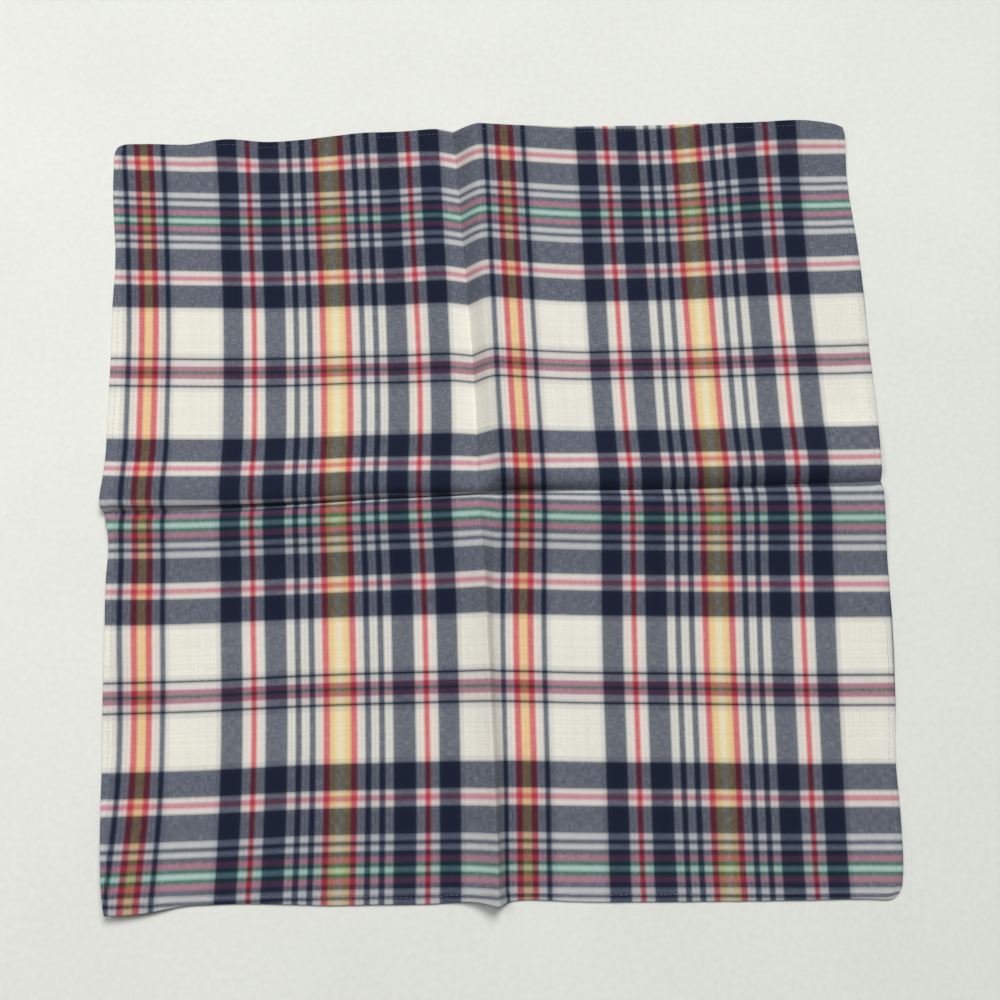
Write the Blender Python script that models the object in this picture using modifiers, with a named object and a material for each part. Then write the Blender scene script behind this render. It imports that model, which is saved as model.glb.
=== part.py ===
"""Cotton handkerchief, opened out flat after lying folded in quarters.

One square of thin cloth with a narrow double-turned hem. It lies on a level surface. Two sharp creases
cross near its middle, and the cloth beside them still stands up. Metres, +Z up, +Y away from the viewer.
The origin is on the surface, under the middle of the cloth's box.

A point of the cloth is named by how far it lies from the left hem (across) and from the near hem (up).
"""
import bmesh
import bpy
import numpy as np
from mathutils import Vector

# The square as it was cut and hemmed, measured flat.
SIDE = 0.400
CLOTH_THICK = 0.0010
HEM_THICK = 0.0015
HEM_WIDTH = 0.0040
HEM_STEP = 0.0008

# Where the two creases run, as places on the flat cloth. The folding was a little askew.
UPRIGHT_CREASE_NEAR = 0.1957
UPRIGHT_CREASE_FAR = 0.1847
LEVEL_CREASE_LEFT = 0.1946
LEVEL_CREASE_RIGHT = 0.2065

# Far half of the upright crease: a valley on the surface with a low bank on its left and a high one on
# its right. A bank climbs from the valley to its crest and dies out at its end.
VALLEY_COLUMNS = ("up", "left_height", "left_crest", "left_end", "right_height", "right_crest", "right_end")
VALLEY = (
    (0.200, 0.0032, 0.013, 0.045, 0.0105, 0.0160, 0.070),
    (0.260, 0.0040, 0.013, 0.045, 0.0112, 0.0168, 0.070),
    (0.320, 0.0044, 0.013, 0.045, 0.0115, 0.0175, 0.072),
    (0.400, 0.0038, 0.012, 0.040, 0.0108, 0.0180, 0.075),
)

# Near half of the same crease: a ridge with a long left flank and a short steep right one.
RIDGE_COLUMNS = ("up", "height", "left_end", "right_end")
RIDGE = (
    (0.000, 0.0098, 0.031, 0.0122),
    (0.014, 0.0092, 0.031, 0.0115),
    (0.060, 0.0090, 0.031, 0.0113),
    (0.120, 0.0090, 0.032, 0.0113),
    (0.200, 0.0090, 0.042, 0.0120),
)

# The level crease: a narrow valley right across, with a lip on its far side and one on its near side.
LIP_COLUMNS = ("across", "far_height", "far_crest", "far_end", "near_height", "near_crest", "near_end")
LIPS = (
    (0.000, 0.0054, 0.0078, 0.040, 0.0026, 0.0065, 0.030),
    (0.080, 0.0060, 0.0080, 0.042, 0.0043, 0.0068, 0.038),
    (0.175, 0.0054, 0.0076, 0.038, 0.0044, 0.0068, 0.042),
    (0.240, 0.0040, 0.0075, 0.036, 0.0038, 0.0070, 0.042),
    (0.400, 0.0042, 0.0075, 0.045, 0.0038, 0.0070, 0.045),
)

# Places where the hem has lifted off the surface.
LIFT_COLUMNS = ("name", "across", "up", "height", "half_across", "half_up")
LIFTS = (
    ("near left corner", 0.000, 0.012, 0.0055, 0.050, 0.075),
    ("left hem by the near half", 0.000, 0.130, 0.0030, 0.030, 0.070),
    ("far hem, left quarter", 0.062, 0.400, 0.0025, 0.022, 0.030),
    ("far hem, before the crease", 0.140, 0.400, 0.0022, 0.035, 0.034),
    ("far right corner", 0.380, 0.400, 0.0030, 0.045, 0.040),
)

# How far the threads are pulled out of square: sideways towards +X and upwards towards +Y.
# The columns after the first stand at these places across or up the cloth.
PULL_PLACES = (0.000, 0.100, 0.195, 0.300, 0.400)
SIDEWAYS_COLUMNS = ("up", "left", "left_quarter", "crease", "right_quarter", "right")
SIDEWAYS = (
    (0.000, 0.0030, 0.0033, 0.0030, 0.0012, -0.0023),
    (0.050, 0.0055, 0.0039, 0.0031, 0.0009, -0.0017),
    (0.100, 0.0051, 0.0035, 0.0028, 0.0012, -0.0007),
    (0.150, 0.0030, 0.0021, 0.0023, 0.0013, 0.0001),
    (0.200, 0.0022, 0.0011, 0.0001, -0.0018, -0.0022),
    (0.250, 0.0017, 0.0009, 0.0013, 0.0007, 0.0015),
    (0.300, 0.0010, -0.0004, 0.0003, 0.0004, 0.0006),
    (0.350, -0.0019, -0.0031, -0.0016, -0.0010, -0.0006),
    (0.400, -0.0058, -0.0057, -0.0040, -0.0034, -0.0020),
)
UPWARDS_COLUMNS = ("across", "near", "near_quarter", "crease", "far_quarter", "far")
UPWARDS = (
    (0.000, -0.0017, -0.0014, -0.0001, 0.0007, 0.0008),
    (0.050, -0.0017, -0.0011, -0.0003, 0.0004, -0.0005),
    (0.100, -0.0007, 0.0004, 0.0006, 0.0005, -0.0011),
    (0.150, -0.0007, 0.0010, 0.0019, 0.0013, 0.0009),
    (0.200, -0.0008, 0.0010, 0.0018, 0.0014, 0.0009),
    (0.250, -0.0021, -0.0009, -0.0002, -0.0008, -0.0004),
    (0.300, -0.0031, -0.0023, -0.0016, -0.0012, -0.0023),
    (0.350, -0.0041, -0.0039, -0.0021, 0.0002, 0.0022),
    (0.400, -0.0048, -0.0048, -0.0030, 0.0005, 0.0016),
)

# How far each hem was turned askew to the threads: again towards +X and +Y. It dies out from the hem.
HEM_SKEW_REACH = 0.055
SIDE_HEM_COLUMNS = ("up", "left", "right")
SIDE_HEMS = (
    (0.000, 0.0075, -0.0016),
    (0.016, 0.0048, 0.0001),
    (0.043, 0.0014, 0.0003),
    (0.070, -0.0002, -0.0005),
    (0.095, -0.0004, 0.0010),
    (0.130, 0.0009, 0.0018),
    (0.160, 0.0009, 0.0007),
    (0.186, 0.0010, 0.0000),
    (0.197, -0.0022, -0.0002),
    (0.215, -0.0017, -0.0005),
    (0.236, -0.0017, 0.0004),
    (0.278, -0.0010, 0.0007),
    (0.305, -0.0007, 0.0012),
    (0.330, 0.0012, 0.0006),
    (0.370, 0.0011, -0.0018),
    (0.400, 0.0030, -0.0008),
)
LEVEL_HEM_COLUMNS = ("across", "near", "far")
LEVEL_HEMS = (
    (0.000, 0.0015, -0.0017),
    (0.020, 0.0024, -0.0011),
    (0.042, 0.0048, -0.0008),
    (0.065, 0.0051, 0.0018),
    (0.090, 0.0040, 0.0018),
    (0.110, 0.0027, 0.0029),
    (0.135, 0.0026, 0.0035),
    (0.160, 0.0024, 0.0037),
    (0.186, 0.0031, 0.0050),
    (0.196, 0.0018, 0.0040),
    (0.212, 0.0036, 0.0040),
    (0.240, 0.0031, 0.0048),
    (0.270, 0.0031, 0.0059),
    (0.305, 0.0034, 0.0065),
    (0.330, 0.0036, 0.0045),
    (0.352, 0.0040, 0.0025),
    (0.380, 0.0043, 0.0022),
    (0.400, 0.0034, 0.0001),
)

# The corners are drawn in where the hems were turned over each other.
CORNER_REACH = 0.009
CORNERS = (
    ("near left", 0.0, 0.0, 0.0005),
    ("near right", 1.0, 0.0, 0.0022),
    ("far left", 0.0, 1.0, 0.0020),
    ("far right", 1.0, 1.0, 0.0012),
)

# Both creases end on this raised spot, where four folds meet.
CROSS_BLEND_BELOW = 0.006
CROSS_BLEND = 0.018
CROSS_NOTCH = 0.80
CROSS_NOTCH_REACH = 0.011
LIP_GIVES_WAY = 0.009
LIP_KEPT = 0.2

# Cloth that climbs reaches less far, and its threads share that out over this distance.
SHARE_SPREAD = 0.020
STEEPEST = 0.97
REACH_STEPS = 400

# The grid of the cloth: fine at the creases, wide towards the hems.
STEPS_PER_HALF = 20
STEP_GROWTH = 1.4

CLOTH_COLOUR = (0.42, 0.44, 0.50, 1.0)
CLOTH_ROUGHNESS = 0.9


def ease(t):
    """0 to 1 with level ends."""
    t = np.clip(t, 0.0, 1.0)
    return t * t * (3.0 - 2.0 * t)


def climb(t):
    """0 to 1, nearly straight from the start and rounded over at the top."""
    t = np.clip(t, 0.0, 1.0)
    return (6.0 * t - t ** 6) / 5.0


def read(table, columns, name, place):
    """A column's value at a place, eased from one row of the table to the next."""
    places = np.array([row[0] for row in table])
    values = np.array([row[columns.index(name)] for row in table])
    low = np.clip(np.searchsorted(places, place, side="right") - 1, 0, len(places) - 2)
    part = ease((place - places[low]) / (places[low + 1] - places[low]))
    return values[low] + (values[low + 1] - values[low]) * part


def smooth(places, values, place):
    """The value at a place, on a smooth curve through the values at the places."""
    slopes = np.gradient(values, places, axis=0)
    low = np.clip(np.searchsorted(places, place, side="right") - 1, 0, len(places) - 2)
    step = places[low + 1] - places[low]
    t = (place - places[low]) / step

    def pick(rows, index):
        return rows[index] if rows.ndim == 1 else np.take_along_axis(rows, index[None], axis=0)[0]

    rise = (2 * t ** 3 - 3 * t ** 2 + 1) * pick(values, low)
    rise = rise + (3 * t ** 2 - 2 * t ** 3) * pick(values, low + 1)
    lean = (t ** 3 - 2 * t ** 2 + t) * pick(slopes, low) + (t ** 3 - t ** 2) * pick(slopes, low + 1)
    return rise + lean * step


def curve(table, columns, name, place):
    """A column's value at a place, on a smooth curve through the table's rows."""
    places = np.array([row[0] for row in table])
    values = np.array([row[columns.index(name)] for row in table])
    return smooth(places, values, place)


def pull(table, columns, along, crosswise):
    """How far a point is pulled: smooth along the table's rows, and from column to column."""
    values = np.array([curve(table, columns, name, along) for name in columns[1:]])
    return smooth(np.array(PULL_PLACES), values, crosswise)


def upright_crease(up):
    return UPRIGHT_CREASE_NEAR + (UPRIGHT_CREASE_FAR - UPRIGHT_CREASE_NEAR) * up / SIDE


def level_crease(across):
    return LEVEL_CREASE_LEFT + (LEVEL_CREASE_RIGHT - LEVEL_CREASE_LEFT) * across / SIDE


def bank(distance, height, crest, end):
    """Height of a bank beside a valley, at a distance from the valley's line."""
    fall = 1.0 - ease((distance - crest) / (end - crest))
    return height * climb(distance / crest) * fall


def far_half(beside, up):
    """The valley of the upright crease. Its right bank has a sharper crest than its left one."""
    def value(name):
        return read(VALLEY, VALLEY_COLUMNS, name, up)
    left = bank(-beside, value("left_height"), value("left_crest"), value("left_end"))
    crest = value("right_crest")
    fall = 1.0 - climb((beside - crest) / (value("right_end") - crest))
    right = value("right_height") * climb(beside / crest) * fall
    return np.where(beside < 0, left, right)


def near_half(beside, up):
    """The ridge of the upright crease."""
    height = read(RIDGE, RIDGE_COLUMNS, "height", up)
    left_end = read(RIDGE, RIDGE_COLUMNS, "left_end", up)
    right_end = read(RIDGE, RIDGE_COLUMNS, "right_end", up)
    left = (1.0 - np.clip(-beside / left_end, 0.0, 1.0)) ** 2
    right = 1.0 - climb(beside / right_end)
    return height * np.where(beside < 0, left, right)


def lips(beyond, across):
    """The two lips of the level crease."""
    def value(name):
        return read(LIPS, LIP_COLUMNS, name, across)
    far = bank(beyond, value("far_height"), value("far_crest"), value("far_end"))
    near = bank(-beyond, value("near_height"), value("near_crest"), value("near_end"))
    return np.where(beyond > 0, far, near)


def lifts(across, up):
    """Soft low rises where the hem is off the surface."""
    total = np.zeros(np.shape(across))
    for _, middle_across, middle_up, height, half_across, half_up in LIFTS:
        away = np.hypot((across - middle_across) / half_across, (up - middle_up) / half_up)
        total = total + height * (1.0 - ease(away))
    return total


def height(across, up):
    """How high the cloth's underside is above the surface."""
    beside = across - upright_crease(up)
    beyond = up - level_crease(across)
    far = ease((beyond + CROSS_BLEND_BELOW) / CROSS_BLEND)
    notch = 1.0 - climb(np.abs(beyond) / CROSS_NOTCH_REACH)
    upright = far * far_half(beside, up) + (1.0 - far) * near_half(beside, up)
    upright = upright * (1.0 - CROSS_NOTCH * notch)
    give = 1.0 - (1.0 - LIP_KEPT) * ease(upright / LIP_GIVES_WAY)
    return upright + lips(beyond, across) * give + lifts(across, up)


def hem_skew(across, up):
    """How far a point lies from its threads' place because the hems were turned askew."""
    def share(distance):
        return 1.0 - ease(distance / HEM_SKEW_REACH)
    skew_x = curve(SIDE_HEMS, SIDE_HEM_COLUMNS, "left", up) * share(across)
    skew_x = skew_x + curve(SIDE_HEMS, SIDE_HEM_COLUMNS, "right", up) * share(SIDE - across)
    skew_y = curve(LEVEL_HEMS, LEVEL_HEM_COLUMNS, "near", across) * share(up)
    skew_y = skew_y + curve(LEVEL_HEMS, LEVEL_HEM_COLUMNS, "far", across) * share(SIDE - up)
    return skew_x, skew_y


def shares(count):
    """Square matrix that spreads a value along a row of points, as woven threads share a pull."""
    places = np.linspace(0.0, SIDE, count)
    weights = np.exp(-0.5 * ((places[:, None] - places[None, :]) / SHARE_SPREAD) ** 2)
    return weights / weights.sum(axis=1, keepdims=True)


class Reach:
    """Flat place of each point of the cloth, less what its climbing threads take up."""

    def __init__(self):
        count = REACH_STEPS + 1
        line = np.linspace(0.0, SIDE, count)
        across, up = np.meshgrid(line, line, indexing="ij")
        rise = height(across, up)
        self.step = line[1]
        blur = shares(count)
        slope_across = np.clip(np.diff(rise, axis=0) / self.step, -STEEPEST, STEEPEST)
        slope_up = np.clip(np.diff(rise, axis=1) / self.step, -STEEPEST, STEEPEST)
        lost_across = (1.0 - np.sqrt(1.0 - slope_across ** 2)) @ blur.T * self.step
        lost_up = blur @ (1.0 - np.sqrt(1.0 - slope_up ** 2)) * self.step
        self.across = across - np.pad(np.cumsum(lost_across, axis=0), ((1, 0), (0, 0)))
        self.up = up - np.pad(np.cumsum(lost_up, axis=1), ((0, 0), (1, 0)))
        self.middle = (self.across[-1].mean() / 2.0, self.up[:, -1].mean() / 2.0)

    def look_up(self, values, across, up):
        """Values of the fine grid between its points."""
        i = np.clip((across / self.step).astype(int), 0, REACH_STEPS - 1)
        j = np.clip((up / self.step).astype(int), 0, REACH_STEPS - 1)
        s, t = across / self.step - i, up / self.step - j
        near = values[i, j] * (1 - s) + values[i + 1, j] * s
        far = values[i, j + 1] * (1 - s) + values[i + 1, j + 1] * s
        return near * (1 - t) + far * t

    def place(self, across, up):
        """Where a point of the flat cloth lies, as X, Y and Z."""
        x = self.look_up(self.across, across, up) - self.middle[0]
        y = self.look_up(self.up, across, up) - self.middle[1]
        part_across, part_up = across / SIDE, up / SIDE
        x = x + pull(SIDEWAYS, SIDEWAYS_COLUMNS, up, across)
        y = y + pull(UPWARDS, UPWARDS_COLUMNS, across, up)
        skew_x, skew_y = hem_skew(across, up)
        x, y = x + skew_x, y + skew_y
        for _, corner_across, corner_up, draw in CORNERS:
            away = np.hypot(part_across - corner_across, part_up - corner_up) * SIDE
            drawn = draw * np.clip(1.0 - away / CORNER_REACH, 0.0, 1.0) ** 2
            x = x + drawn * (1.0 - 2.0 * corner_across)
            y = y + drawn * (1.0 - 2.0 * corner_up)
        return x, y, height(across, up)


def grid_lines():
    """Each grid line as a fixed part and a share of its crease's place."""
    half = (np.arange(STEPS_PER_HALF) / STEPS_PER_HALF) ** STEP_GROWTH
    hem = np.array([0.0, HEM_WIDTH, HEM_WIDTH + HEM_STEP])
    inner = hem[-1] + HEM_WIDTH
    fixed = np.concatenate([hem, inner * half[:0:-1], [0.0], (SIDE - inner) * half[1:], SIDE - hem[::-1]])
    share = np.concatenate([hem * 0, 1 - half[:0:-1], [1.0], 1 - half[1:], hem * 0])
    return fixed, share


def crossings(column, row):
    """Where the grid lines cross: each keeps its distance to its own crease, and both creases lean."""
    fixed, share = grid_lines()
    lean = (UPRIGHT_CREASE_FAR - UPRIGHT_CREASE_NEAR) / SIDE * share[column]
    lean_up = (LEVEL_CREASE_RIGHT - LEVEL_CREASE_LEFT) / SIDE * share[row]
    start = fixed[column] + share[column] * UPRIGHT_CREASE_NEAR
    start_up = fixed[row] + share[row] * LEVEL_CREASE_LEFT
    across = (start + lean * start_up) / (1.0 - lean * lean_up)
    return across, start_up + lean_up * across


def make_cloth(collection, material):
    lines = len(grid_lines()[0])
    bm = bmesh.new()
    bmesh.ops.create_grid(bm, x_segments=lines - 1, y_segments=lines - 1, size=1.0)
    spots = np.array([vert.co[:2] for vert in bm.verts])
    column, row = np.rint((spots.T + 1.0) / 2.0 * (lines - 1)).astype(int)
    across, up = crossings(column, row)

    x, y, z = Reach().place(across, up)
    x = x - (x.min() + x.max()) / 2.0
    y = y - (y.min() + y.max()) / 2.0
    for vert, spot in zip(bm.verts, zip(x, y, z)):
        vert.co = Vector(spot)
    mesh = bpy.data.meshes.new("handkerchief")
    bm.to_mesh(mesh)
    bm.free()
    mesh.materials.append(material)

    cloth = bpy.data.objects.new("handkerchief", mesh)
    collection.objects.link(cloth)
    hem = cloth.vertex_groups.new(name="hem")
    edge = np.minimum(np.minimum(across, SIDE - across), np.minimum(up, SIDE - up))
    hem.add([int(k) for k in np.flatnonzero(edge < HEM_WIDTH + HEM_STEP / 2)], 1.0, "REPLACE")
    solid = cloth.modifiers.new("thickness", "SOLIDIFY")
    solid.thickness = HEM_THICK
    solid.offset = 1.0
    solid.vertex_group = hem.name
    solid.thickness_vertex_group = CLOTH_THICK / HEM_THICK
    mesh.shade_smooth()
    return cloth


def make_material():
    material = bpy.data.materials.new("plaid cotton")
    material.use_nodes = True
    shader = material.node_tree.nodes["Principled BSDF"]
    shader.inputs["Base Color"].default_value = CLOTH_COLOUR
    shader.inputs["Roughness"].default_value = CLOTH_ROUGHNESS
    shader.inputs["Metallic"].default_value = 0.0
    return material


def main():
    for thing in list(bpy.data.objects):
        bpy.data.objects.remove(thing)
    collection = bpy.data.collections.new("handkerchief")
    bpy.context.scene.collection.children.link(collection)
    make_cloth(collection, make_material())


main()
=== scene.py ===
"""A checked cotton handkerchief lying open on a pale surface, with the creases of a quarter fold in it."""

import bmesh
import bpy
import numpy as np
from mathutils import Matrix, Vector


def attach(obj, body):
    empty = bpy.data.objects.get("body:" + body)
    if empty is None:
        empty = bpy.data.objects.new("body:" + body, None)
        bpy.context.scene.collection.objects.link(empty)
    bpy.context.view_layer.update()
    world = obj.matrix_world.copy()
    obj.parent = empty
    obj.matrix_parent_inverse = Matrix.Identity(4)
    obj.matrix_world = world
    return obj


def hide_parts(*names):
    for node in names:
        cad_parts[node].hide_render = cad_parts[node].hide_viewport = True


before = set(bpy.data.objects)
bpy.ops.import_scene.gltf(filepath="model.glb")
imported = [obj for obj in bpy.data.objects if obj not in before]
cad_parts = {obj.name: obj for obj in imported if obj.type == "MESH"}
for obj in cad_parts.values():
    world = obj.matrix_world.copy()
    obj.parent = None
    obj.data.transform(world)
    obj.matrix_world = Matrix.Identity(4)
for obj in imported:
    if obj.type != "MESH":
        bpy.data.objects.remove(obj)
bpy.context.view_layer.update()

# The square as it was cut and hemmed, measured flat, in metres.
SIDE = 0.400
CLOTH_THICK = 0.00035
HEM_THICK = 0.00105
HEM_WIDTH = 0.0040

# The hem's turned layers end between the two inner places. Past them the cloth is held up by a share of
# what the hem is thicker, and comes down over the slope. The hem's outer edge is rounded and thinner.
HEM_INNER = (0.0034, 0.0050)
HEM_HELD_SHARE = 0.90
HEM_SLOPE = 0.010
HEM_ROUND = 0.0006
HEM_EDGE_SHARE = 0.45

# Where the two creases run, as places on the flat cloth. The folding was a little askew.
UPRIGHT_CREASE_NEAR = 0.1957
UPRIGHT_CREASE_FAR = 0.1847
LEVEL_CREASE_LEFT = 0.1946
LEVEL_CREASE_RIGHT = 0.2065

# Far half of the upright crease: a valley with a low bank on its left and a high one on its right.
VALLEY_COLUMNS = ("up", "left_height", "left_crest", "left_end", "right_height", "right_crest", "right_end")
VALLEY = (
    (0.200, 0.0032, 0.013, 0.045, 0.0105, 0.0160, 0.070),
    (0.260, 0.0040, 0.013, 0.045, 0.0112, 0.0168, 0.070),
    (0.320, 0.0044, 0.013, 0.045, 0.0115, 0.0175, 0.072),
    (0.400, 0.0038, 0.012, 0.040, 0.0108, 0.0180, 0.075),
)

# Near half of the same crease: a ridge with a long left flank and a short steep right one.
RIDGE_COLUMNS = ("up", "height", "left_end", "right_end")
RIDGE = (
    (0.000, 0.0098, 0.031, 0.0122),
    (0.014, 0.0092, 0.031, 0.0115),
    (0.060, 0.0090, 0.031, 0.0113),
    (0.120, 0.0090, 0.032, 0.0113),
    (0.200, 0.0090, 0.042, 0.0120),
)

# The level crease: a narrow valley right across, with a lip on its far side and one on its near side.
LIP_COLUMNS = ("across", "far_height", "far_crest", "far_end", "near_height", "near_crest", "near_end")
LIPS = (
    (0.000, 0.0054, 0.0078, 0.040, 0.0026, 0.0065, 0.030),
    (0.080, 0.0060, 0.0080, 0.042, 0.0043, 0.0068, 0.038),
    (0.175, 0.0054, 0.0076, 0.038, 0.0044, 0.0068, 0.042),
    (0.240, 0.0040, 0.0075, 0.036, 0.0038, 0.0070, 0.042),
    (0.400, 0.0042, 0.0075, 0.045, 0.0038, 0.0070, 0.045),
)

# Places where the hem has lifted off the surface.
LIFT_COLUMNS = ("name", "across", "up", "height", "half_across", "half_up")
LIFTS = (
    ("near left corner", 0.000, 0.012, 0.0055, 0.050, 0.075),
    ("left hem by the near half", 0.000, 0.130, 0.0030, 0.030, 0.070),
    ("far hem, left quarter", 0.062, 0.400, 0.0025, 0.022, 0.030),
    ("far hem, before the crease", 0.140, 0.400, 0.0022, 0.035, 0.034),
    ("far right corner", 0.380, 0.400, 0.0030, 0.045, 0.040),
)

# How far the threads are pulled out of square: sideways towards +X and upwards towards +Y.
# The columns after the first stand at these places across or up the cloth.
PULL_PLACES = (0.000, 0.100, 0.195, 0.300, 0.400)
SIDEWAYS_COLUMNS = ("up", "left", "left_quarter", "crease", "right_quarter", "right")
SIDEWAYS = (
    (0.000, 0.0030, 0.0033, 0.0030, 0.0012, -0.0023),
    (0.050, 0.0055, 0.0039, 0.0031, 0.0009, -0.0017),
    (0.100, 0.0051, 0.0035, 0.0028, 0.0012, -0.0007),
    (0.150, 0.0030, 0.0021, 0.0023, 0.0013, 0.0001),
    (0.200, 0.0022, 0.0011, 0.0001, -0.0018, -0.0022),
    (0.250, 0.0017, 0.0009, 0.0013, 0.0007, 0.0015),
    (0.300, 0.0010, -0.0004, 0.0003, 0.0004, 0.0006),
    (0.350, -0.0019, -0.0031, -0.0016, -0.0010, -0.0006),
    (0.400, -0.0058, -0.0057, -0.0040, -0.0034, -0.0020),
)
UPWARDS_COLUMNS = ("across", "near", "near_quarter", "crease", "far_quarter", "far")
UPWARDS = (
    (0.000, -0.0017, -0.0014, -0.0001, 0.0007, 0.0008),
    (0.050, -0.0017, -0.0011, -0.0003, 0.0004, -0.0005),
    (0.100, -0.0007, 0.0004, 0.0006, 0.0005, -0.0011),
    (0.150, -0.0007, 0.0010, 0.0019, 0.0013, 0.0009),
    (0.200, -0.0008, 0.0010, 0.0018, 0.0014, 0.0009),
    (0.250, -0.0021, -0.0009, -0.0002, -0.0008, -0.0004),
    (0.300, -0.0031, -0.0023, -0.0016, -0.0012, -0.0023),
    (0.350, -0.0041, -0.0039, -0.0021, 0.0002, 0.0022),
    (0.400, -0.0048, -0.0048, -0.0030, 0.0005, 0.0016),
)

# How far each hem was turned askew to the threads: again towards +X and +Y. It dies out from the hem.
HEM_SKEW_REACH = 0.055
SIDE_HEM_COLUMNS = ("up", "left", "right")
SIDE_HEMS = (
    (0.000, 0.0075, -0.0016),
    (0.016, 0.0048, 0.0001),
    (0.043, 0.0014, 0.0003),
    (0.070, -0.0002, -0.0005),
    (0.095, -0.0004, 0.0010),
    (0.130, 0.0009, 0.0018),
    (0.160, 0.0009, 0.0007),
    (0.186, 0.0010, 0.0000),
    (0.197, -0.0022, -0.0002),
    (0.215, -0.0017, -0.0005),
    (0.236, -0.0017, 0.0004),
    (0.278, -0.0010, 0.0007),
    (0.305, -0.0007, 0.0012),
    (0.330, 0.0012, 0.0006),
    (0.370, 0.0011, -0.0018),
    (0.400, 0.0030, -0.0008),
)
LEVEL_HEM_COLUMNS = ("across", "near", "far")
LEVEL_HEMS = (
    (0.000, 0.0015, -0.0017),
    (0.020, 0.0024, -0.0011),
    (0.042, 0.0048, -0.0008),
    (0.065, 0.0051, 0.0018),
    (0.090, 0.0040, 0.0018),
    (0.110, 0.0027, 0.0029),
    (0.135, 0.0026, 0.0035),
    (0.160, 0.0024, 0.0037),
    (0.186, 0.0031, 0.0050),
    (0.196, 0.0018, 0.0040),
    (0.212, 0.0036, 0.0040),
    (0.240, 0.0031, 0.0048),
    (0.270, 0.0031, 0.0059),
    (0.305, 0.0034, 0.0065),
    (0.330, 0.0036, 0.0045),
    (0.352, 0.0040, 0.0025),
    (0.380, 0.0043, 0.0022),
    (0.400, 0.0034, 0.0001),
)

# The corners are drawn in where the hems were turned over each other.
CORNER_REACH = 0.009
CORNERS = (
    ("near left", 0.0, 0.0, 0.0005),
    ("near right", 1.0, 0.0, 0.0022),
    ("far left", 0.0, 1.0, 0.0020),
    ("far right", 1.0, 1.0, 0.0012),
)

# Both creases end on this raised spot, where four folds meet.
CROSS_BLEND_BELOW = 0.006
CROSS_BLEND = 0.018
CROSS_NOTCH = 0.80
CROSS_NOTCH_REACH = 0.011
LIP_GIVES_WAY = 0.009
LIP_KEPT = 0.2

# Cloth that climbs reaches less far, and its threads share that out over this distance.
SHARE_SPREAD = 0.020
STEEPEST = 0.97
REACH_STEPS = 400

# The cloth is never quite level: broad soft waves, small ones, and puckers along the stitched hem.
WAVES_COLUMNS = ("size", "height", "seed")
WAVES = (
    (0.040, 0.00030, 3),
    (0.014, 0.00012, 8),
)
PUCKER_SIZE = 0.006
PUCKER_HEIGHT = 0.00035
PUCKER_REACH = 0.013
PUCKER_SEED = 5

# Where the far lip tucks in over the level crease, and the pocket beside the crossing of the creases.
# Right of the upright crease only a part of the tuck is kept.
TUCK_HEIGHT = 0.0010
TUCK_PLACE = 0.0026
TUCK_WIDTH = 0.0015
TUCK_KEPT = 0.35
POCKET_DEPTH = 0.0020
POCKET_BESIDE = 0.0085
POCKET_BEYOND = 0.0055
POCKET_REACH = 0.0045

# The grid of the cloth: fine at the creases and the hem.
STEPS_PER_HALF = 90
STEP_GROWTH = 1.3
HEM_LINES = (0.0, 0.00015, 0.0004, 0.0008, 0.0014, 0.0022, 0.0030, 0.0034, 0.0038, 0.0042,
             0.0046, 0.0050, 0.0062, 0.0080)

# The stitches that hold the hem.
STITCH_INSET = 0.0033
STITCH_PITCH = 0.0024
STITCH_LENGTH = 0.0017
STITCH_RADIUS = 0.00008
STITCH_WANDER = 0.00008
STITCH_SWAY = 0.00012
STITCH_LIFT = 0.00006
STITCH_SIDES = 6
STITCH_PROFILE = ((0.0, 0.35), (0.22, 0.9), (0.5, 1.0), (0.78, 0.9), (1.0, 0.35))

# Yarn colours as a screen shows them.
YARNS = {
    "white": (234, 231, 221),
    "pale blue": (196, 199, 206),
    "navy": (24, 31, 50),
    "red": (187, 30, 42),
    "pink": (170, 72, 98),
    "yellow": (238, 191, 101),
    "cream": (236, 220, 172),
    "rose": (142, 58, 91),
    "green": (10, 50, 42),
    "mint": (154, 206, 202),
}

# In chart units: how far a stripe's edge spreads, and how far its neighbours deepen it, with their share.
EDGE_SOFT = 1.1
DEEPENED_REACH = 4.0
DEEPENED_SHARE = 0.12

# The yarns: their distance, how far they wander, how often they do so across and along themselves, and
# how often each one is thicker and thinner.
YARN_PITCH = 0.00042
WANDER = 0.00025
WANDER_ACROSS = 90.0
WANDER_ALONG = 14.0
SLUB_ALONG = 230.0

# How the two sets make up the cloth's colour: the share that they show side by side, the weft's part of
# that, and how much more the yarn on top and the thicker yarn show.
BESIDE_SHARE = 0.08
WEFT_PART = 0.68
TOP_SHARE = 0.16
THICK_SHARE = 0.45

# The share and colour of the highlight painted along the sharp creases; the sewing thread and the surface:
# darkest and lightest, as a screen shows them.
CREASE_HIGHLIGHT_SHARE = 0.05
CREASE_HIGHLIGHT_COLOUR = (225, 220, 212)
THREAD_COLOURS = ((118, 121, 128), (156, 157, 161))
SURFACE_COLOURS = ((222, 224, 219), (234, 236, 231))

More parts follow.
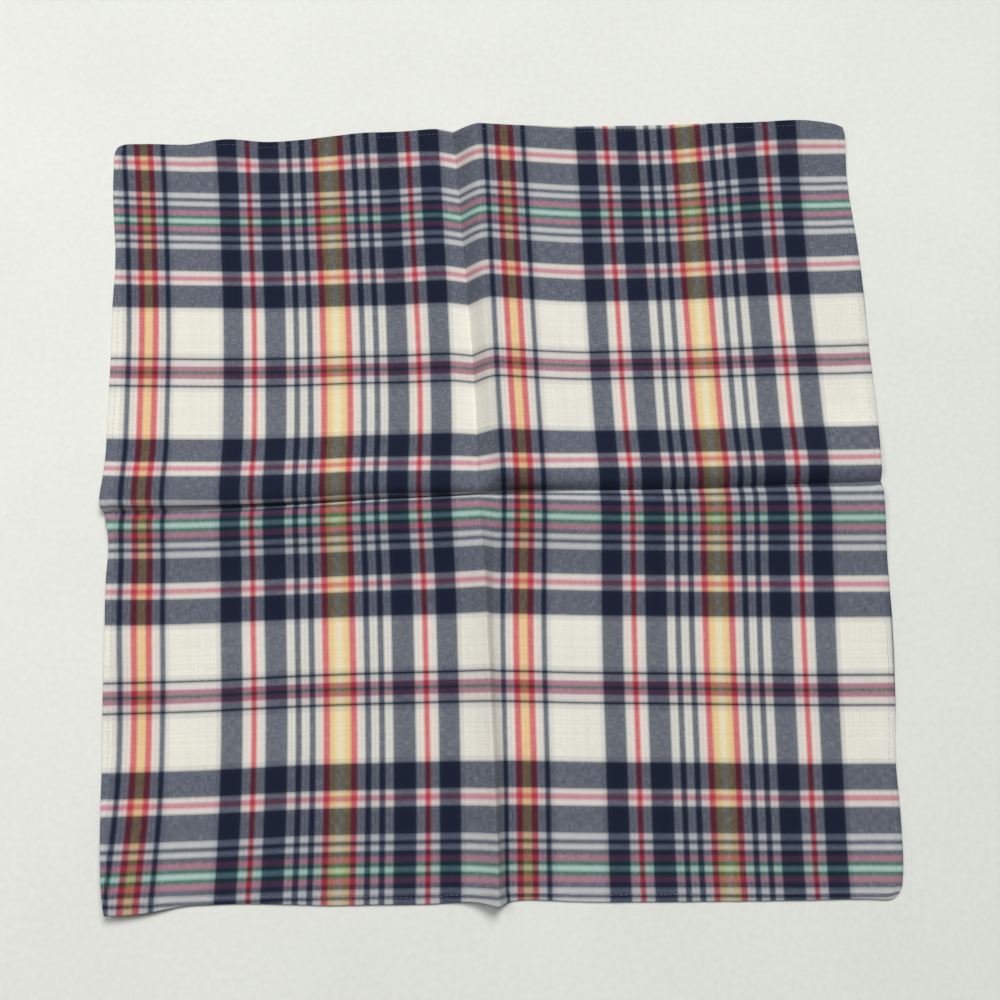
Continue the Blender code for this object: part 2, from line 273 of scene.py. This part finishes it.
# The check, from one middle to the next, after which it runs back again. Widths in chart units.
CHART_UNIT = 0.0005294
WARP_START = 0.0186
WARP = (
    ("yellow", 3.6), ("red", 6.1), ("white", 7.0), ("navy", 5.8), ("white", 51.5), ("navy", 21.0),
    ("white", 6.8), ("red", 6.4), ("white", 6.9), ("navy", 21.9), ("white", 6.8), ("navy", 6.1),
    ("white", 7.0), ("navy", 6.1), ("white", 7.0), ("red", 6.0), ("yellow", 7.0), ("cream", 3.0),
)
WEFT_START = 0.0449
WEFT = (
    ("mint", 1.4), ("green", 5.1), ("rose", 4.6), ("navy", 5.2), ("pale blue", 4.1), ("navy", 4.5),
    ("pale blue", 4.7), ("navy", 24.7), ("white", 4.3), ("pink", 5.5), ("white", 4.1), ("navy", 24.5),
    ("white", 50.5), ("navy", 3.9), ("white", 4.9), ("rose", 5.0), ("green", 2.1),
)

# The camera: the point on the surface that it looks at, how it leans and how far away it is.
CAMERA_TARGET = (0.0042, -0.0040)
CAMERA_TILT = 10.65
CAMERA_YAW = -0.54
CAMERA_ROLL = -1.16
CAMERA_DISTANCE = 0.572
CAMERA_FOCAL_PIXELS = 1126.0
CAMERA_SENSOR = 36.0
PICTURE_PIXELS = 1000.0

# The lights, which all aim at the middle of the cloth, and the sky.
LIGHT_COLUMNS = ("name", "place", "size", "power", "colour")
LIGHTS = (
    ("window", (1.15, 2.85, 4.50), 2.50, 229.0, (0.985, 0.98, 0.94)),
    ("ceiling", (-0.60, 0.22, 1.20), 0.60, 5.4, (0.98, 0.98, 0.98)),
    ("lamp", (-1.10, -0.10, 0.50), 0.50, 0.6, (1.0, 0.75, 0.45)),
)
SKY_COLOUR = (0.86, 0.93, 1.0, 1.0)
SKY_STRENGTH = 0.15

# The surface under the cloth, a hair lower than the cloth, so that the two never share a plane.
SURFACE_SIZE = 2.0
SURFACE_DROP = 0.0002


def ease(t):
    """0 to 1 with level ends."""
    t = np.clip(t, 0.0, 1.0)
    return t * t * (3.0 - 2.0 * t)


def climb(t):
    """0 to 1, nearly straight from the start and rounded over at the top."""
    t = np.clip(t, 0.0, 1.0)
    return (6.0 * t - t ** 6) / 5.0


def read(table, columns, name, place):
    """A column's value at a place, eased from one row of the table to the next."""
    places = np.array([row[0] for row in table])
    values = np.array([row[columns.index(name)] for row in table])
    low = np.clip(np.searchsorted(places, place, side="right") - 1, 0, len(places) - 2)
    part = ease((place - places[low]) / (places[low + 1] - places[low]))
    return values[low] + (values[low + 1] - values[low]) * part


def smooth(places, values, place):
    """The value at a place, on a smooth curve through the values at the places."""
    slopes = np.gradient(values, places, axis=0)
    low = np.clip(np.searchsorted(places, place, side="right") - 1, 0, len(places) - 2)
    step = places[low + 1] - places[low]
    t = (place - places[low]) / step

    def pick(rows, index):
        return rows[index] if rows.ndim == 1 else np.take_along_axis(rows, index[None], axis=0)[0]

    rise = (2 * t ** 3 - 3 * t ** 2 + 1) * pick(values, low)
    rise = rise + (3 * t ** 2 - 2 * t ** 3) * pick(values, low + 1)
    lean = (t ** 3 - 2 * t ** 2 + t) * pick(slopes, low) + (t ** 3 - t ** 2) * pick(slopes, low + 1)
    return rise + lean * step


def curve(table, columns, name, place):
    """A column's value at a place, on a smooth curve through the table's rows."""
    places = np.array([row[0] for row in table])
    values = np.array([row[columns.index(name)] for row in table])
    return smooth(places, values, place)


def pull(table, columns, along, crosswise):
    """How far a point is pulled: smooth along the table's rows, and from column to column."""
    values = np.array([curve(table, columns, name, along) for name in columns[1:]])
    return smooth(np.array(PULL_PLACES), values, crosswise)


def upright_crease(up):
    return UPRIGHT_CREASE_NEAR + (UPRIGHT_CREASE_FAR - UPRIGHT_CREASE_NEAR) * up / SIDE


def level_crease(across):
    return LEVEL_CREASE_LEFT + (LEVEL_CREASE_RIGHT - LEVEL_CREASE_LEFT) * across / SIDE


def bank(distance, height, crest, end):
    """Height of a bank beside a valley, at a distance from the valley's line."""
    fall = 1.0 - ease((distance - crest) / (end - crest))
    return height * climb(distance / crest) * fall


def far_half(beside, up):
    """The valley of the upright crease. Its right bank has a sharper crest than its left one."""
    def value(name):
        return read(VALLEY, VALLEY_COLUMNS, name, up)
    left = bank(-beside, value("left_height"), value("left_crest"), value("left_end"))
    crest = value("right_crest")
    fall = 1.0 - climb((beside - crest) / (value("right_end") - crest))
    right = value("right_height") * climb(beside / crest) * fall
    return np.where(beside < 0, left, right)


def near_half(beside, up):
    """The ridge of the upright crease."""
    height = read(RIDGE, RIDGE_COLUMNS, "height", up)
    left_end = read(RIDGE, RIDGE_COLUMNS, "left_end", up)
    right_end = read(RIDGE, RIDGE_COLUMNS, "right_end", up)
    left = (1.0 - np.clip(-beside / left_end, 0.0, 1.0)) ** 2
    right = 1.0 - climb(beside / right_end)
    return height * np.where(beside < 0, left, right)


def lips(beyond, across):
    """The two lips of the level crease."""
    def value(name):
        return read(LIPS, LIP_COLUMNS, name, across)
    far = bank(beyond, value("far_height"), value("far_crest"), value("far_end"))
    near = bank(-beyond, value("near_height"), value("near_crest"), value("near_end"))
    return np.where(beyond > 0, far, near)


def lifts(across, up):
    """Soft low rises where the hem is off the surface."""
    total = np.zeros(np.shape(across))
    for _, middle_across, middle_up, height, half_across, half_up in LIFTS:
        away = np.hypot((across - middle_across) / half_across, (up - middle_up) / half_up)
        total = total + height * (1.0 - ease(away))
    return total


def fold_height(across, up):
    """How high the folds hold the cloth's underside above the surface."""
    beside = across - upright_crease(up)
    beyond = up - level_crease(across)
    far = ease((beyond + CROSS_BLEND_BELOW) / CROSS_BLEND)
    notch = 1.0 - climb(np.abs(beyond) / CROSS_NOTCH_REACH)
    upright = far * far_half(beside, up) + (1.0 - far) * near_half(beside, up)
    upright = upright * (1.0 - CROSS_NOTCH * notch)
    give = 1.0 - (1.0 - LIP_KEPT) * ease(upright / LIP_GIVES_WAY)
    return upright + lips(beyond, across) * give + lifts(across, up)


def hem_skew(across, up):
    """How far a point lies from its threads' place because the hems were turned askew."""
    def share(distance):
        return 1.0 - ease(distance / HEM_SKEW_REACH)
    skew_x = curve(SIDE_HEMS, SIDE_HEM_COLUMNS, "left", up) * share(across)
    skew_x = skew_x + curve(SIDE_HEMS, SIDE_HEM_COLUMNS, "right", up) * share(SIDE - across)
    skew_y = curve(LEVEL_HEMS, LEVEL_HEM_COLUMNS, "near", across) * share(up)
    skew_y = skew_y + curve(LEVEL_HEMS, LEVEL_HEM_COLUMNS, "far", across) * share(SIDE - up)
    return skew_x, skew_y


def shares(count):
    """Square matrix that spreads a value along a row of points, as woven threads share a pull."""
    places = np.linspace(0.0, SIDE, count)
    weights = np.exp(-0.5 * ((places[:, None] - places[None, :]) / SHARE_SPREAD) ** 2)
    return weights / weights.sum(axis=1, keepdims=True)


def waves(across, up, size, seed):
    """Smooth random waves of about one size, from 0 to 1."""
    rng = np.random.default_rng(seed)
    knots = rng.random((int(SIDE / size) + 3, int(SIDE / size) + 3))
    x, y = across / size, up / size
    i, j = x.astype(int), y.astype(int)
    s, t = ease(x - i), ease(y - j)
    near = knots[i, j] * (1 - s) + knots[i + 1, j] * s
    far = knots[i, j + 1] * (1 - s) + knots[i + 1, j + 1] * s
    return near * (1 - t) + far * t


def hem_distance(across, up):
    """Distance to the nearest hem."""
    return np.minimum(np.minimum(across, SIDE - across), np.minimum(up, SIDE - up))


def past_hem(edge):
    """0 in the turned hem and 1 past its inner edge."""
    return ease((edge - HEM_INNER[0]) / (HEM_INNER[1] - HEM_INNER[0]))


def small_height(across, up):
    """The small unevenness of the cloth and the step that its hem leaves under it."""
    total = np.zeros(np.shape(across))
    for size, height, seed in WAVES:
        total = total + height * waves(across, up, size, seed)
    beside, beyond = across - upright_crease(up), up - level_crease(across)
    kept = 1.0 - (1.0 - TUCK_KEPT) * ease(beside / POCKET_BESIDE)
    total = total + TUCK_HEIGHT * kept * np.exp(-((beyond - TUCK_PLACE) / TUCK_WIDTH) ** 2)
    pocket = np.hypot(beside - POCKET_BESIDE, beyond - POCKET_BEYOND) / POCKET_REACH
    total = total - POCKET_DEPTH * np.exp(-pocket ** 2)
    edge = hem_distance(across, up)
    pucker = 1.0 - ease((edge - HEM_WIDTH) / PUCKER_REACH)
    total = total + PUCKER_HEIGHT * pucker * waves(across, up, PUCKER_SIZE, PUCKER_SEED)
    past = (edge - HEM_INNER[1]) / HEM_SLOPE
    step = HEM_HELD_SHARE * (HEM_THICK - CLOTH_THICK) * past_hem(edge) * (1.0 - ease(past))
    return total + step


class Reach:
    """Flat place of each point of the cloth, less what its climbing threads take up."""

    def __init__(self):
        count = REACH_STEPS + 1
        line = np.linspace(0.0, SIDE, count)
        across, up = np.meshgrid(line, line, indexing="ij")
        rise = fold_height(across, up)
        self.step = line[1]
        blur = shares(count)
        slope_across = np.clip(np.diff(rise, axis=0) / self.step, -STEEPEST, STEEPEST)
        slope_up = np.clip(np.diff(rise, axis=1) / self.step, -STEEPEST, STEEPEST)
        lost_across = (1.0 - np.sqrt(1.0 - slope_across ** 2)) @ blur.T * self.step
        lost_up = blur @ (1.0 - np.sqrt(1.0 - slope_up ** 2)) * self.step
        self.across = across - np.pad(np.cumsum(lost_across, axis=0), ((1, 0), (0, 0)))
        self.up = up - np.pad(np.cumsum(lost_up, axis=1), ((0, 0), (1, 0)))
        self.middle = (self.across[-1].mean() / 2.0, self.up[:, -1].mean() / 2.0)

    def look_up(self, values, across, up):
        """Values of the fine grid between its points."""
        i = np.clip((across / self.step).astype(int), 0, REACH_STEPS - 1)
        j = np.clip((up / self.step).astype(int), 0, REACH_STEPS - 1)
        s, t = across / self.step - i, up / self.step - j
        near = values[i, j] * (1 - s) + values[i + 1, j] * s
        far = values[i, j + 1] * (1 - s) + values[i + 1, j + 1] * s
        return near * (1 - t) + far * t

    def place(self, across, up):
        """Where a point of the flat cloth lies, as X and Y before the box is centred."""
        x = self.look_up(self.across, across, up) - self.middle[0]
        y = self.look_up(self.up, across, up) - self.middle[1]
        part_across, part_up = across / SIDE, up / SIDE
        x = x + pull(SIDEWAYS, SIDEWAYS_COLUMNS, up, across)
        y = y + pull(UPWARDS, UPWARDS_COLUMNS, across, up)
        skew_x, skew_y = hem_skew(across, up)
        x, y = x + skew_x, y + skew_y
        for _, corner_across, corner_up, draw in CORNERS:
            away = np.hypot(part_across - corner_across, part_up - corner_up) * SIDE
            drawn = draw * np.clip(1.0 - away / CORNER_REACH, 0.0, 1.0) ** 2
            x = x + drawn * (1.0 - 2.0 * corner_across)
            y = y + drawn * (1.0 - 2.0 * corner_up)
        return x, y


def grid_lines():
    """Each grid line as a fixed part and a share of its crease's place."""
    half = (np.arange(STEPS_PER_HALF) / STEPS_PER_HALF) ** STEP_GROWTH
    hem = np.array(HEM_LINES)
    inner = HEM_LINES[-1] + 0.002
    fixed = np.concatenate([hem, inner * half[:0:-1], [0.0], (SIDE - inner) * half[1:], SIDE - hem[::-1]])
    share = np.concatenate([hem * 0, 1 - half[:0:-1], [1.0], 1 - half[1:], hem * 0])
    return fixed, share


def crossings(column, row):
    """Where the grid lines cross: each keeps its distance to its own crease, and both creases lean."""
    fixed, share = grid_lines()
    lean_across = (UPRIGHT_CREASE_FAR - UPRIGHT_CREASE_NEAR) / SIDE
    lean_up = (LEVEL_CREASE_RIGHT - LEVEL_CREASE_LEFT) / SIDE
    start = fixed[column] + share[column] * UPRIGHT_CREASE_NEAR
    start_up = fixed[row] + share[row] * LEVEL_CREASE_LEFT
    turn = share[column] * lean_across
    turn_up = share[row] * lean_up
    across = (start + turn * start_up) / (1.0 - turn * turn_up)
    return across, start_up + turn_up * across


def linear(colour):
    """A screen colour as the light that it stands for."""
    c = np.array(colour) / 255.0
    return tuple(np.where(c < 0.04045, c / 12.92, ((c + 0.055) / 1.055) ** 2.4)) + (1.0,)


class Nodes:
    """Short calls for building a material's nodes."""

    def __init__(self, material):
        material.use_nodes = True
        self.tree = material.node_tree
        self.tree.nodes.clear()

    def add(self, kind, inputs=(), **settings):
        node = self.tree.nodes.new(kind)
        for name, value in settings.items():
            setattr(node, name, value)
        for name, value in dict(inputs).items():
            socket = node.inputs[name]
            if isinstance(value, bpy.types.NodeSocket):
                self.tree.links.new(value, socket)
            else:
                socket.default_value = value
        return node

    def math(self, operation, *values):
        return self.add("ShaderNodeMath", dict(enumerate(values)), operation=operation).outputs[0]

    def mix(self, how, share, first, second):
        inputs = {0: share, 6: first, 7: second}
        node = self.add("ShaderNodeMix", inputs, data_type="RGBA", blend_type=how)
        return node.outputs[2]

    def noise(self, vector, detail=2.0, scale=1.0):
        inputs = {"Vector": vector, "Scale": scale, "Detail": detail, "Roughness": 0.55}
        return self.add("ShaderNodeTexNoise", inputs).outputs["Fac"]

    def stripes(self, place, chart):
        """The colour of one set of yarns. Light spreads sideways in the cloth, so a stripe's edges are
        soft and it is deepened a little by its neighbours."""
        def beside(distance, how):
            before = self.stripe(self.math("SUBTRACT", place, distance), chart)
            after = self.stripe(self.math("ADD", place, distance), chart)
            return self.mix(how, 0.5 if how == "MIX" else 1.0, before, after)
        soft = self.mix("MIX", 0.5, self.stripe(place, chart), beside(EDGE_SOFT, "MIX"))
        own = self.add("ShaderNodeGamma", {"Color": soft, "Gamma": 1.0 - DEEPENED_SHARE})
        others = self.add("ShaderNodeGamma", {"Color": beside(DEEPENED_REACH, "MULTIPLY"),
                                              "Gamma": DEEPENED_SHARE / 2.0})
        return self.mix("MULTIPLY", 1.0, own.outputs["Color"], others.outputs["Color"])

    def stripe(self, place, chart):
        """The yarn's colour at a place in the chart, which runs forwards and back."""
        span = sum(width for _, width in chart)
        turned = self.math("DIVIDE", self.math("PINGPONG", place, span), span)
        node = self.add("ShaderNodeValToRGB", {"Fac": turned})
        ramp = node.color_ramp
        ramp.interpolation = "CONSTANT"
        start = 0.0
        for number, (yarn, width) in enumerate(chart):
            if number == 0:
                stop = ramp.elements[0]
            elif number == 1:
                stop = ramp.elements[1]
                stop.position = start
            else:
                stop = ramp.elements.new(start)
            stop.color = linear(YARNS[yarn])
            start += width / span
        return node.outputs["Color"]

    def spread(self, value, low, high):
        """A value from 0 to 1 turned to one between two limits."""
        inputs = {"Value": value, "To Min": low, "To Max": high}
        return self.add("ShaderNodeMapRange", inputs).outputs["Result"]


def cloth_material():
    material = bpy.data.materials.new("plaid cotton")
    n = Nodes(material)
    flat = n.add("ShaderNodeUVMap", uv_map="cloth").outputs["UV"]
    place = n.add("ShaderNodeSeparateXYZ", {"Vector": flat})
    across, up = place.outputs["X"], place.outputs["Y"]

    # The yarns wander a little on their way through the cloth.
    slow = n.noise(n.add("ShaderNodeCombineXYZ", {"X": n.math("MULTIPLY", across, WANDER_ACROSS),
                                                 "Y": n.math("MULTIPLY", up, WANDER_ALONG)}).outputs[0])
    slow_up = n.noise(n.add("ShaderNodeCombineXYZ", {"X": n.math("MULTIPLY", across, WANDER_ALONG),
                                                    "Y": n.math("MULTIPLY", up, WANDER_ACROSS),
                                                    "Z": 7.0}).outputs[0])
    across_yarn = n.math("ADD", across, n.spread(slow, -WANDER, WANDER))
    up_yarn = n.math("ADD", up, n.spread(slow_up, -WANDER, WANDER))

    warp_place = n.math("DIVIDE", n.math("SUBTRACT", across_yarn, WARP_START), CHART_UNIT)
    weft_place = n.math("SUBTRACT", SIDE - WEFT_START, up_yarn)
    weft_place = n.math("DIVIDE", weft_place, CHART_UNIT)
    warp = n.stripes(warp_place, WARP)
    weft = n.stripes(weft_place, WEFT)

    # Each yarn has its own depth of colour, and thick and thin places along it.
    count = n.math("DIVIDE", across_yarn, YARN_PITCH)
    count_up = n.math("DIVIDE", up_yarn, YARN_PITCH)
    own = n.add("ShaderNodeTexWhiteNoise", {"W": n.math("FLOOR", count)}, noise_dimensions="1D")
    own_up = n.add("ShaderNodeTexWhiteNoise", {"W": n.math("ADD", n.math("FLOOR", count_up), 0.5)},
                   noise_dimensions="1D")
    along = n.add("ShaderNodeCombineXYZ", {"X": n.math("FLOOR", count),
                                          "Y": n.math("MULTIPLY", up, SLUB_ALONG)}).outputs[0]
    along_up = n.add("ShaderNodeCombineXYZ", {"X": n.math("MULTIPLY", across, SLUB_ALONG),
                                             "Y": n.math("FLOOR", count_up), "Z": 31.0}).outputs[0]
    slub, slub_up = n.noise(along, 1.0), n.noise(along_up, 1.0)
    tone = n.math("MULTIPLY", n.spread(own.outputs["Value"], 0.94, 1.04), n.spread(slub, 0.86, 1.12))
    tone_up = n.math("MULTIPLY", n.spread(own_up.outputs["Value"], 0.94, 1.04),
                     n.spread(slub_up, 0.86, 1.12))
    warp = n.mix("MULTIPLY", 1.0, warp, tone)
    weft = n.mix("MULTIPLY", 1.0, weft, tone_up)

    # Light goes through both sets of yarns before it comes back, so their colours deepen each other.
    through = n.add("ShaderNodeGamma", {"Color": n.mix("MULTIPLY", 1.0, warp, weft), "Gamma": 0.5})
    beside = n.mix("MIX", WEFT_PART, warp, weft)
    cloth = n.mix("MIX", BESIDE_SHARE, through.outputs["Color"], beside)

    # Over and under: the yarn on top shows more of its own colour, and so does the thicker of the two.
    turn = n.math("SINE", n.math("MULTIPLY", count, np.pi))
    turn_up = n.math("SINE", n.math("MULTIPLY", count_up, np.pi))
    weave = n.math("MULTIPLY", turn, turn_up)
    thicker = n.math("MULTIPLY", n.math("SUBTRACT", slub, slub_up), THICK_SHARE)
    lean = n.math("ADD", n.math("MULTIPLY", weave, TOP_SHARE), thicker)
    cloth = n.mix("MIX", n.math("MAXIMUM", lean, 0.0), cloth, warp)
    cloth = n.mix("MIX", n.math("MAXIMUM", n.math("MULTIPLY", lean, -1.0), 0.0), cloth, weft)

    # The sharp creases are painted paler: a painted highlight along their crests. Washing has left the whole
    # cloth faintly uneven.
    crease_highlight_mask = n.add("ShaderNodeAttribute", attribute_name="crease").outputs["Fac"]
    painted_highlight = n.math("MULTIPLY", crease_highlight_mask, n.spread(n.noise(along, 2.0, 0.5), 0.0, CREASE_HIGHLIGHT_SHARE))
    cloth = n.mix("MIX", painted_highlight, cloth, linear(CREASE_HIGHLIGHT_COLOUR))
    broad = n.spread(n.noise(flat, 3.0, 38.0), 0.94, 1.05)
    cloth = n.mix("MULTIPLY", 1.0, cloth, broad)

    fibre = n.noise(flat, 2.0, 5200.0)
    bumps = n.math("ADD", n.math("MULTIPLY", n.math("ABSOLUTE", weave), 0.6),
                   n.math("ADD", n.math("MULTIPLY", slub, 0.7), n.math("MULTIPLY", slub_up, 0.7)))
    bumps = n.math("ADD", bumps, n.math("MULTIPLY", fibre, 0.5))
    bump = n.add("ShaderNodeBump", {"Height": bumps, "Strength": 0.35, "Distance": 0.00012})
    rough = n.spread(fibre, 0.82, 0.96)
    shader = n.add("ShaderNodeBsdfPrincipled", {
        "Base Color": cloth, "Roughness": rough, "Normal": bump.outputs["Normal"],
        "Specular IOR Level": 0.12, "Sheen Weight": 0.04, "Sheen Roughness": 0.5})
    n.add("ShaderNodeOutputMaterial", {"Surface": shader.outputs["BSDF"]})
    return material


def thread_material():
    material = bpy.data.materials.new("sewing thread")
    n = Nodes(material)
    place = n.add("ShaderNodeTexCoord").outputs["Object"]
    ply = n.noise(place, 2.0, 2600.0)
    broad = n.noise(place, 1.0, 60.0)
    dark, light = (linear(shade) for shade in THREAD_COLOURS)
    colour = n.mix("MIX", n.spread(ply, 0.0, 1.0), dark, light)
    colour = n.mix("MULTIPLY", 1.0, colour, n.spread(broad, 0.9, 1.05))
    bump = n.add("ShaderNodeBump", {"Height": ply, "Strength": 0.4, "Distance": 0.00008})
    shader = n.add("ShaderNodeBsdfPrincipled", {
        "Base Color": colour, "Roughness": n.spread(ply, 0.6, 0.8), "Normal": bump.outputs["Normal"],
        "Sheen Weight": 0.1})
    n.add("ShaderNodeOutputMaterial", {"Surface": shader.outputs["BSDF"]})
    return material


def surface_material():
    material = bpy.data.materials.new("pale surface")
    n = Nodes(material)
    place = n.add("ShaderNodeTexCoord").outputs["Object"]
    clouds = n.noise(place, 4.0, 9.0)
    grain = n.noise(place, 2.0, 700.0)
    dark, light = (linear(shade) for shade in SURFACE_COLOURS)
    colour = n.mix("MIX", n.spread(clouds, 0.0, 1.0), dark, light)
    fine = n.spread(n.noise(place, 3.0, 330.0), 0.93, 1.07)
    colour = n.mix("MULTIPLY", 1.0, colour, fine)
    bump = n.add("ShaderNodeBump", {"Height": grain, "Strength": 0.15, "Distance": 0.0002})
    shader = n.add("ShaderNodeBsdfPrincipled", {
        "Base Color": colour, "Roughness": n.spread(grain, 0.6, 0.7), "Normal": bump.outputs["Normal"],
        "Specular IOR Level": 0.25})
    n.add("ShaderNodeOutputMaterial", {"Surface": shader.outputs["BSDF"]})
    return material


def make_cloth(material):
    """The sheet itself. Returns it with a function that places a point of the flat cloth."""
    lines = len(grid_lines()[0])
    bm = bmesh.new()
    bmesh.ops.create_grid(bm, x_segments=lines - 1, y_segments=lines - 1, size=1.0)
    bm.verts.ensure_lookup_table()
    spots = np.array([vert.co[:2] for vert in bm.verts])
    column, row = np.rint((spots.T + 1.0) / 2.0 * (lines - 1)).astype(int)
    across, up = crossings(column, row)

    reach = Reach()
    x, y = reach.place(across, up)
    middle = ((x.min() + x.max()) / 2.0, (y.min() + y.max()) / 2.0)

    def place(across, up):
        """The cloth's underside at a point of the flat cloth."""
        x, y = reach.place(across, up)
        return x - middle[0], y - middle[1], fold_height(across, up) + small_height(across, up)

    for vert, spot in zip(bm.verts, zip(*place(across, up))):
        vert.co = Vector(spot)
    crease_line = len(HEM_LINES) + STEPS_PER_HALF - 1
    for edge in bm.edges:
        a, b = (vert.index for vert in edge.verts)
        edge.smooth = not (column[a] == column[b] == crease_line or row[a] == row[b] == crease_line)
    for face in bm.faces:
        face.smooth = True
    skew_x, skew_y = hem_skew(across, up)
    threads = np.stack((across + skew_x, up + skew_y), -1)
    flat = bm.loops.layers.uv.new("cloth")
    for face in bm.faces:
        for loop in face.loops:
            loop[flat].uv = threads[loop.vert.index]
    mesh = bpy.data.meshes.new("cloth_sheet")
    bm.to_mesh(mesh)
    bm.free()
    mesh.materials.append(material)

    # How sharply the cloth is creased here, for the highlight painted along the crease crests.
    beside, beyond = across - upright_crease(up), up - level_crease(across)
    sharp = np.exp(-(beside / 0.0011) ** 2) * np.where(beyond < 0.0, 1.0, 0.3)
    crease = mesh.attributes.new("crease", "FLOAT", "POINT")
    crease.data.foreach_set("value", np.clip(sharp, 0.0, 1.0).astype(np.float32))

    cloth = bpy.data.objects.new("cloth_sheet", mesh)
    bpy.context.scene.collection.objects.link(cloth)
    edge = hem_distance(across, up)
    corner = np.sqrt(np.clip(1.0 - (1.0 - np.clip(edge / HEM_ROUND, 0.0, 1.0)) ** 2, 0.0, 1.0))
    hem_thick = HEM_THICK * (HEM_EDGE_SHARE + (1.0 - HEM_EDGE_SHARE) * corner)
    thick = np.round(hem_thick + (CLOTH_THICK - hem_thick) * past_hem(edge), 7)
    group = cloth.vertex_groups.new(name="thickness")
    for share in np.unique(thick):
        chosen = np.flatnonzero(thick == share)
        group.add([int(k) for k in chosen], float(share / HEM_THICK), "REPLACE")
    solid = cloth.modifiers.new("thickness", "SOLIDIFY")
    solid.thickness = HEM_THICK
    solid.offset = 1.0
    solid.vertex_group = group.name
    bpy.context.view_layer.objects.active = cloth
    with bpy.context.temp_override(object=cloth, active_object=cloth):
        bpy.ops.object.modifier_apply(modifier=solid.name)
    return cloth, place


def make_stitches(place, material):
    """Small raised stitches along all four hems, as one mesh."""
    bm = bmesh.new()
    rng = np.random.default_rng(11)
    first, last = STITCH_INSET, SIDE - STITCH_INSET
    count = int((last - first) / STITCH_PITCH)
    for side in range(4):
        for number in range(count):
            centre = first + (number + 0.5) * (last - first) / count + rng.normal(0.0, STITCH_WANDER)
            half = STITCH_LENGTH / 2.0 * rng.uniform(0.9, 1.1)
            sway = rng.normal(0.0, STITCH_SWAY)
            ends = []
            for end in (-1.0, 0.0, 1.0):
                along = centre + end * half
                inset = STITCH_INSET + sway
                spot = [(along, inset), (last + first - inset, along), (along, last + first - inset),
                        (inset, along)][side]
                x, y, z = place(np.array([spot[0]]), np.array([spot[1]]))
                lift = HEM_THICK + (STITCH_LIFT if end == 0.0 else -STITCH_RADIUS * 0.8)
                ends.append(Vector((x[0], y[0], z[0] + lift)))
            add_stitch(bm, ends)
    mesh = bpy.data.meshes.new("hem_stitches")
    bm.to_mesh(mesh)
    bm.free()
    mesh.materials.append(material)
    mesh.shade_smooth()
    stitches = bpy.data.objects.new("hem_stitches", mesh)
    bpy.context.scene.collection.objects.link(stitches)
    return stitches


def add_stitch(bm, ends):
    """One stitch: a short thread that comes up, runs over the hem and goes down again."""
    start, middle, end = ends
    way = (end - start).normalized()
    side = way.cross(Vector((0.0, 0.0, 1.0))).normalized()
    rise = side.cross(way).normalized()
    rings = []
    for share, thick in STITCH_PROFILE:
        spot = start.lerp(end, share) + (middle - start.lerp(end, 0.5)) * (1.0 - (2.0 * share - 1.0) ** 2)
        ring = []
        for k in range(STITCH_SIDES):
            angle = k * np.pi / (STITCH_SIDES / 2.0)
            out = side * np.cos(angle) + rise * np.sin(angle)
            ring.append(bm.verts.new(spot + out * STITCH_RADIUS * thick))
        rings.append(ring)
    for ring, following in zip(rings, rings[1:]):
        for k in range(STITCH_SIDES):
            after = (k + 1) % STITCH_SIDES
            bm.faces.new((ring[k], ring[after], following[after], following[k]))
    bm.faces.new(rings[0][::-1])
    bm.faces.new(rings[-1])


def make_surface(material):
    bm = bmesh.new()
    bmesh.ops.create_grid(bm, x_segments=2, y_segments=2, size=SURFACE_SIZE)
    mesh = bpy.data.meshes.new("surface")
    bm.to_mesh(mesh)
    bm.free()
    mesh.materials.append(material)
    surface = bpy.data.objects.new("surface", mesh)
    bpy.context.scene.collection.objects.link(surface)
    surface.location.z = -SURFACE_DROP
    return surface


def make_light(name, place, size, power, colour):
    data = bpy.data.lights.new(name, "AREA")
    data.shape = "DISK"
    data.size = size
    data.energy = power
    data.color = colour
    light = bpy.data.objects.new(name, data)
    bpy.context.scene.collection.objects.link(light)
    light.location = place
    light.rotation_euler = (-Vector(place)).to_track_quat("-Z", "Y").to_euler()


def make_camera():
    tilt, yaw, roll = (np.radians(a) for a in (CAMERA_TILT, CAMERA_YAW, CAMERA_ROLL))
    back = Vector((np.sin(yaw), -np.sin(tilt) * np.cos(yaw), np.cos(tilt) * np.cos(yaw)))
    right = Vector((0.0, 1.0, 0.0)).cross(back).normalized()
    above = back.cross(right)
    turned = right * np.cos(roll) + above * np.sin(roll)
    upward = above * np.cos(roll) - right * np.sin(roll)
    data = bpy.data.cameras.new("camera")
    data.sensor_fit = "HORIZONTAL"
    data.sensor_width = CAMERA_SENSOR
    data.lens = CAMERA_SENSOR * CAMERA_FOCAL_PIXELS / PICTURE_PIXELS
    data.clip_start = 0.01
    camera = bpy.data.objects.new("camera", data)
    bpy.context.scene.collection.objects.link(camera)
    spot = Vector((*CAMERA_TARGET, 0.0)) + back * CAMERA_DISTANCE
    turn = Matrix((turned, upward, back)).transposed().to_4x4()
    camera.matrix_world = Matrix.Translation(spot) @ turn
    bpy.context.scene.camera = camera


def make_world():
    world = bpy.data.worlds.new("studio")
    world.use_nodes = True
    sky = world.node_tree.nodes["Background"]
    sky.inputs["Color"].default_value = SKY_COLOUR
    sky.inputs["Strength"].default_value = SKY_STRENGTH
    bpy.context.scene.world = world
    bpy.context.scene.view_settings.view_transform = "Standard"


def main():
    make_world()
    make_camera()
    for light in LIGHTS:
        make_light(*light)
    make_surface(surface_material())

    cloth, place = make_cloth(cloth_material())
    stitches = make_stitches(place, thread_material())
    for piece in (cloth, stitches):
        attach(piece, "root")
    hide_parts("handkerchief")


main()
